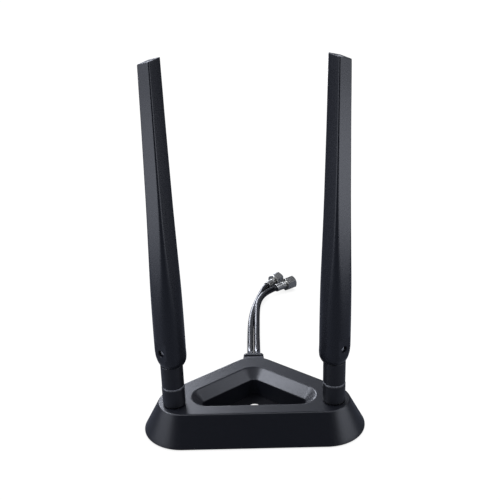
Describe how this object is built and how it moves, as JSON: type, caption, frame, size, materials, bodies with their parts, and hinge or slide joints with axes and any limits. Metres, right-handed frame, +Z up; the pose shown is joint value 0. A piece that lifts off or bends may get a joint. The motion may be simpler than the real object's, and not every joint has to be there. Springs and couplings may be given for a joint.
{
  "type": "wifi antenna stand",
  "caption": "Low rounded-triangle desktop stand with a funnel recess, two screw-on folding blade antennas and two rear coaxial leads with plugs.",
  "frame": {"origin": "on the table plane, on the underside of the anti-slip pad, midway between the two antenna axes", "axes": "+Z up along the antennas, +X to the right seen from the front edge, +Y towards the rear apex and the leads"},
  "size_m": [0.1088, 0.1899, 0.1802],
  "materials": {
    "shell_plastic": "satin charcoal moulded plastic with a fine texture",
    "black_plastic": "semi-matte black moulded plastic",
    "rubber": "matte black rubber",
    "steel": "bright zinc-plated steel",
    "magnet_metal": "nickel-plated magnet",
    "lead_jacket": "glossy black cable jacket",
    "ptfe": "white insulator plastic",
    "brass": "turned brass",
    "nickel": "nickel plate",
    "gold_plate": "gold plate over brass",
    "nylon": "pale nylon",
    "tip_gloss": "glossy black cap",
    "board": "printed antenna board"
  },
  "bodies": {
    "base": {"anti_slip_pad": "rubber", "base_shell": "shell_plastic", "bottom_cover": "black_plastic", "coax_lead_left": "lead_jacket", "coax_lead_right": "lead_jacket", "cover_screw_left": "steel", "cover_screw_rear": "steel", "cover_screw_right": "steel", "jack_insulator_left": "ptfe", "jack_insulator_right": "ptfe", "jack_left": "gold_plate", "jack_nut_left": "nickel", "jack_nut_right": "nickel", "jack_pin_left": "gold_plate", "jack_pin_right": "gold_plate", "jack_right": "gold_plate", "jack_washer_left": "nickel", "jack_washer_right": "nickel", "magnet_left": "magnet_metal", "magnet_right": "magnet_metal", "plug_body_left": "nickel", "plug_body_right": "nickel", "plug_insulator_left": "ptfe", "plug_insulator_right": "ptfe", "plug_pin_left": "gold_plate", "plug_pin_right": "gold_plate", "strain_relief": "rubber"},
    "core_left": {"connector_core_left": "nickel", "connector_insulator_left": "ptfe", "connector_contact_left": "gold_plate", "swivel_washer_left": "nylon"},
    "collar_left": {"collar_left": "black_plastic", "collar_thread_insert_left": "brass"},
    "knuckle_left": {"knuckle_left": "black_plastic"},
    "blade_left": {"blade_shell_left": "shell_plastic", "tip_cap_left": "tip_gloss", "hinge_pin_left": "steel", "hinge_washer_left": "steel", "radiator_board_left": "board", "feed_coax_left": "lead_jacket"},
    "plug_nut_left": {"plug_nut_left": "nickel"},
    "core_right": {"connector_core_right": "nickel", "connector_insulator_right": "ptfe", "connector_contact_right": "gold_plate", "swivel_washer_right": "nylon"},
    "collar_right": {"collar_right": "black_plastic", "collar_thread_insert_right": "brass"},
    "knuckle_right": {"knuckle_right": "black_plastic"},
    "blade_right": {"blade_shell_right": "shell_plastic", "tip_cap_right": "tip_gloss", "hinge_pin_right": "steel", "hinge_washer_right": "steel", "radiator_board_right": "board", "feed_coax_right": "lead_jacket"},
    "plug_nut_right": {"plug_nut_right": "nickel"}
  },
  "joints": [
    {"name": "left_lift", "type": "slide", "parent": "base", "child": "core_left", "axis": [0, 0, 1], "range_m": [0, 0.00564]},
    {"name": "left_collar_turn", "type": "hinge", "parent": "core_left", "child": "collar_left", "pos_m": [-0.03875, 0, 0.0211], "axis": [0, 0, 1], "range_deg": [0, 2880]},
    {"name": "left_swivel", "type": "hinge", "parent": "core_left", "child": "knuckle_left", "pos_m": [-0.03875, 0, 0.0304], "axis": [0, 0, 1], "range_deg": [-270, 90]},
    {"name": "left_tilt", "type": "hinge", "parent": "knuckle_left", "child": "blade_left", "pos_m": [-0.03875, 0, 0.0462], "axis": [-0.6157, -0.788, 0], "range_deg": [0, 90]},
    {"name": "left_plug_spin", "type": "hinge", "parent": "base", "child": "plug_nut_left", "pos_m": [0.0132, 0.1634, 0.00475], "axis": [0.5299, 0.848, 0], "continuous": true},
    {"name": "right_lift", "type": "slide", "parent": "base", "child": "core_right", "axis": [0, 0, 1], "range_m": [0, 0.00564]},
    {"name": "right_collar_turn", "type": "hinge", "parent": "core_right", "child": "collar_right", "pos_m": [0.03875, 0, 0.0211], "axis": [0, 0, 1], "range_deg": [0, 2880]},
    {"name": "right_swivel", "type": "hinge", "parent": "core_right", "child": "knuckle_right", "pos_m": [0.03875, 0, 0.0304], "axis": [0, 0, 1], "range_deg": [-90, 270]},
    {"name": "right_tilt", "type": "hinge", "parent": "knuckle_right", "child": "blade_right", "pos_m": [0.03875, 0, 0.0462], "axis": [-0.6157, 0.788, 0], "range_deg": [0, 90]},
    {"name": "right_plug_spin", "type": "hinge", "parent": "base", "child": "plug_nut_right", "pos_m": [0.0206, 0.158, 0.00475], "axis": [0.766, 0.6428, 0], "continuous": true}
  ],
  "couplings": [
    {"joint": "left_collar_turn", "follows": "left_lift", "rad_per_m": 8904.7},
    {"joint": "right_collar_turn", "follows": "right_lift", "rad_per_m": 8904.7}
  ]
}
